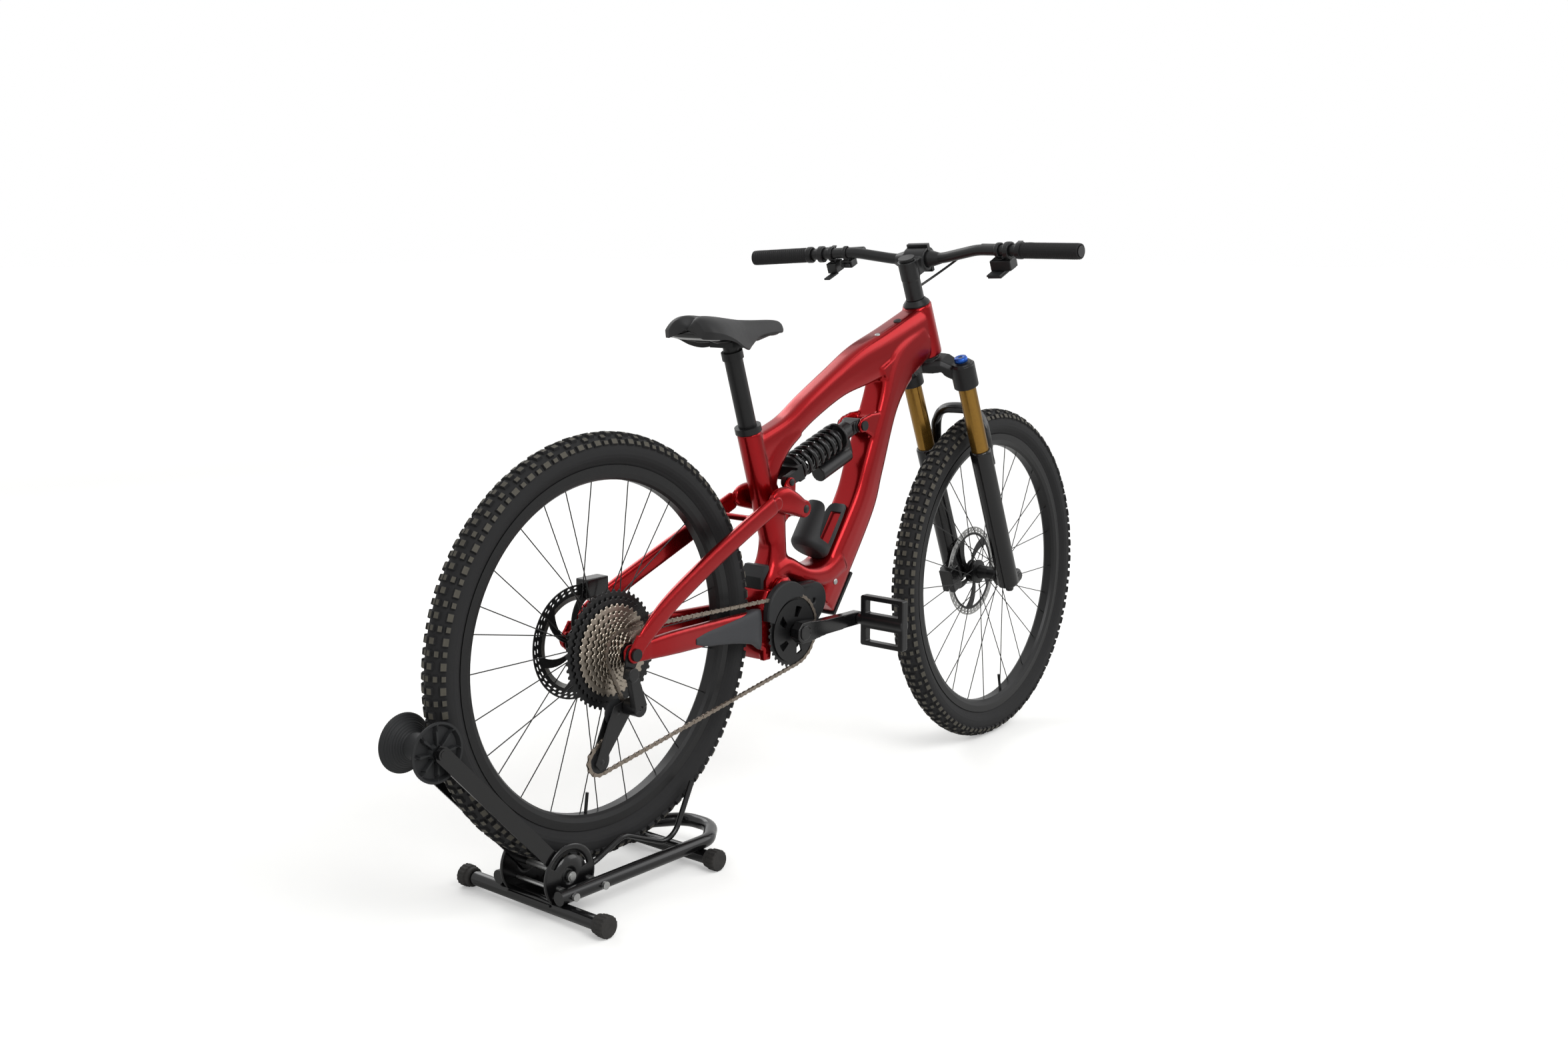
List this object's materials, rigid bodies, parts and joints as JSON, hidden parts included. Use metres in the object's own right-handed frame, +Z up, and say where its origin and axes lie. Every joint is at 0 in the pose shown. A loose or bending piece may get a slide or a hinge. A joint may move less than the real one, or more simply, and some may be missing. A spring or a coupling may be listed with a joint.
{
  "type": "full-suspension electric mountain bicycle on a display stand",
  "caption": "Full-suspension electric mountain bicycle with a coil shock and telescopic fork, held upright by its rear wheel in a sprung tubular display stand.",
  "frame": {"origin": "on the floor, under the middle of the object's overall length, width and centre line", "axes": "+X forward, towards the front wheel; +Y to the rider's left; +Z up"},
  "size_m": [2.0227, 0.7951, 1.1199],
  "materials": {
    "gloss_black": "gloss",
    "matte_black": "matte",
    "red_paint": "candy gloss",
    "tyre_rubber": "matte",
    "black_alloy": "anodised black",
    "gold_stanchion": "bronze coating",
    "steel": "brushed",
    "chain_steel": "dull nickel",
    "grip_rubber": "ribbed",
    "saddle_pad": "matte cover over padding",
    "stand_paint": "gloss black",
    "black_paint": "satin black"
  },
  "bodies": {
    "stand": {"stand_tubes": "stand_paint", "stand_feet": "grip_rubber", "stand_bracket": "stand_paint", "stand_fasteners": "steel"},
    "roller_arm": {"stand_arm": "stand_paint"},
    "roller": {"stand_roller": "matte_black"},
    "frame": {"front_frame": "red_paint", "drive_unit": "matte_black", "frame_covers": "matte_black", "frame_hardware": "black_alloy", "bottle_cage": "matte_black", "seatpost": "black_alloy"},
    "dropper": {"dropper_post": "black_alloy", "saddle": "saddle_pad", "saddle_rails": "steel"},
    "swing": {"swingarm": "red_paint", "rear_axle": "black_alloy", "chainstay_guard": "grip_rubber", "chain": "chain_steel"},
    "stay_pair": {"seatstays": "red_paint", "rear_caliper": "black_alloy"},
    "rear_wheel": {"rear_tyre": "tyre_rubber", "rear_rim": "black_alloy", "rear_hub": "black_alloy", "rear_rotor": "steel", "cassette": "chain_steel"},
    "derailleur": {"derailleur_body": "black_alloy"},
    "jockey_cage": {"derailleur_cage": "black_alloy"},
    "upper_wheel": {"upper_jockey": "matte_black"},
    "lower_wheel": {"lower_jockey": "matte_black"},
    "rocker_link": {"rocker": "red_paint"},
    "shock_can": {"shock_body": "black_alloy", "shock_spring": "black_paint"},
    "shock_rod": {"shock_shaft": "black_alloy"},
    "cranks": {"crank_left": "black_alloy", "crank_right": "black_alloy", "chainring": "black_alloy"},
    "pedal_left": {"pedal_left": "black_alloy"},
    "pedal_right": {"pedal_right": "black_alloy"},
    "steering": {"fork_crown": "black_alloy", "fork_stanchions": "gold_stanchion", "stem": "black_alloy", "stem_faceplate": "black_alloy", "handlebar": "black_alloy", "grips": "grip_rubber", "right_controls": "black_alloy", "left_controls": "black_alloy", "brake_hoses": "grip_rubber"},
    "lowers": {"fork_lowers": "black_paint", "front_caliper": "black_alloy"},
    "front_wheel": {"front_tyre": "tyre_rubber", "front_rim": "black_alloy", "front_hub": "black_alloy", "front_rotor": "steel"},
    "left_lever": {"left_brake_lever": "black_alloy"},
    "right_lever": {"right_brake_lever": "black_alloy"},
    "paddle_up": {"shift_paddle_up": "matte_black"},
    "paddle_down": {"shift_paddle_down": "matte_black"},
    "dropper_remote": {"dropper_lever": "matte_black"},
    "mode_pad": {"mode_buttons": "matte_black"}
  },
  "joints": [
    {"name": "arm_swing", "type": "hinge", "parent": "stand", "child": "roller_arm", "pos_m": [-0.709, 0, 0.067], "axis": [0, 1, 0], "range_deg": [-45, 0], "stiffness_Nm_per_rad": 10, "springref_deg": 40.11},
    {"name": "roller_spin", "type": "hinge", "parent": "roller_arm", "child": "roller", "pos_m": [-0.96336, 0, 0.34003], "axis": [0, 1, 0], "continuous": true},
    {"name": "bike_lift", "type": "slide", "parent": "stand", "child": "frame", "axis": [0, 0, 1], "range_m": [0, 0.25]},
    {"name": "saddle_height", "type": "slide", "parent": "frame", "child": "dropper", "axis": [-0.2924, 0, 0.9563], "range_m": [0, 0.15]},
    {"name": "suspension_swing", "type": "hinge", "parent": "frame", "child": "swing", "pos_m": [-0.133, 0, 0.47], "axis": [0, 1, 0], "range_deg": [0, 19.5], "stiffness_Nm_per_rad": 1600, "springref_deg": -3.44, "deforming": ["chain"]},
    {"name": "stay_pivot", "type": "hinge", "parent": "swing", "child": "stay_pair", "pos_m": [-0.578, 0, 0.429], "axis": [0, 1, 0], "range_deg": [-7.1, 0]},
    {"name": "rocker_pivot", "type": "hinge", "parent": "frame", "child": "rocker_link", "pos_m": [-0.085, 0, 0.615], "axis": [0, 1, 0], "range_deg": [0, 52.6]},
    {"name": "shock_pivot", "type": "hinge", "parent": "frame", "child": "shock_can", "pos_m": [0.131, 0, 0.754], "axis": [0, 1, 0], "range_deg": [-3.5, 0]},
    {"name": "shock_stroke", "type": "slide", "parent": "shock_can", "child": "shock_rod", "axis": [0.9418, 0, 0.3361], "range_m": [0, 0.0495], "deforming": ["shock_spring"]},
    {"name": "rear_wheel_spin", "type": "hinge", "parent": "swing", "child": "rear_wheel", "pos_m": [-0.578, 0, 0.429], "axis": [0, 1, 0], "continuous": true},
    {"name": "derailleur_swing", "type": "hinge", "parent": "swing", "child": "derailleur", "pos_m": [-0.591, 0, 0.398], "axis": [0, 1, 0], "range_deg": [-4, 6], "stiffness_Nm_per_rad": 6},
    {"name": "cage_swing", "type": "hinge", "parent": "derailleur", "child": "jockey_cage", "pos_m": [-0.573, 0, 0.335], "axis": [0, 1, 0], "range_deg": [-15, 20], "stiffness_Nm_per_rad": 4},
    {"name": "upper_wheel_spin", "type": "hinge", "parent": "jockey_cage", "child": "upper_wheel", "pos_m": [-0.597, 0, 0.327], "axis": [0, 1, 0], "continuous": true},
    {"name": "lower_wheel_spin", "type": "hinge", "parent": "jockey_cage", "child": "lower_wheel", "pos_m": [-0.635, 0, 0.249], "axis": [0, 1, 0], "continuous": true},
    {"name": "crank_spin", "type": "hinge", "parent": "frame", "child": "cranks", "pos_m": [-0.123, 0, 0.384], "axis": [0, 1, 0], "continuous": true},
    {"name": "right_pedal_spin", "type": "hinge", "parent": "cranks", "child": "pedal_right", "pos_m": [0.042, 0, 0.384], "axis": [0, 1, 0], "continuous": true},
    {"name": "left_pedal_spin", "type": "hinge", "parent": "cranks", "child": "pedal_left", "pos_m": [-0.288, 0, 0.384], "axis": [0, 1, 0], "continuous": true},
    {"name": "steer", "type": "hinge", "parent": "frame", "child": "steering", "pos_m": [0.59715, 0, 0.35666], "axis": [-0.3714, 0, 0.9285], "range_deg": [-60, 55]},
    {"name": "fork_stroke", "type": "slide", "parent": "steering", "child": "lowers", "axis": [-0.3714, 0, 0.9285], "range_m": [0, 0.15], "stiffness_N_per_m": 6000, "springref_m": -0.04},
    {"name": "front_wheel_spin", "type": "hinge", "parent": "lowers", "child": "front_wheel", "pos_m": [0.63792, 0.00276, 0.37297], "axis": [-0.0583, 0.998, -0.0233], "continuous": true},
    {"name": "right_brake", "type": "hinge", "parent": "steering", "child": "right_lever", "pos_m": [0.3861, -0.22318, 1.1097], "axis": [0.3714, 0, -0.9285], "range_deg": [0, 12], "stiffness_Nm_per_rad": 1, "springref_deg": -2.86},
    {"name": "left_brake", "type": "hinge", "parent": "steering", "child": "left_lever", "pos_m": [0.35952, 0.23192, 1.09907], "axis": [-0.3714, 0, 0.9285], "range_deg": [0, 12], "stiffness_Nm_per_rad": 1, "springref_deg": -2.86},
    {"name": "shift_down", "type": "hinge", "parent": "steering", "child": "paddle_down", "pos_m": [0.36733, -0.20338, 1.06067], "axis": [0.3714, 0, -0.9285], "range_deg": [0, 18], "stiffness_Nm_per_rad": 0.3, "springref_deg": -2.86},
    {"name": "shift_up", "type": "hinge", "parent": "steering", "child": "paddle_up", "pos_m": [0.35817, -0.20389, 1.06207], "axis": [0.3714, 0, -0.9285], "range_deg": [0, 12], "stiffness_Nm_per_rad": 0.3, "springref_deg": -2.86},
    {"name": "dropper_trigger", "type": "hinge", "parent": "steering", "child": "dropper_remote", "pos_m": [0.33415, 0.2073, 1.05246], "axis": [-0.3714, 0, 0.9285], "range_deg": [0, 20], "stiffness_Nm_per_rad": 0.3, "springref_deg": -2.86},
    {"name": "mode_press", "type": "slide", "parent": "steering", "child": "mode_pad", "axis": [0.9267, 0.0628, 0.3706], "range_m": [0, 0.0012], "stiffness_N_per_m": 400, "springref_m": -0.001}
  ],
  "couplings": [
    {"joint": "stay_pivot", "follows": "suspension_swing", "ratio": -0.357},
    {"joint": "rocker_pivot", "follows": "suspension_swing", "ratio": 2.68},
    {"joint": "shock_pivot", "follows": "suspension_swing", "ratio": -0.17},
    {"joint": "shock_stroke", "follows": "suspension_swing", "m_per_rad": 0.1449}
  ]
}
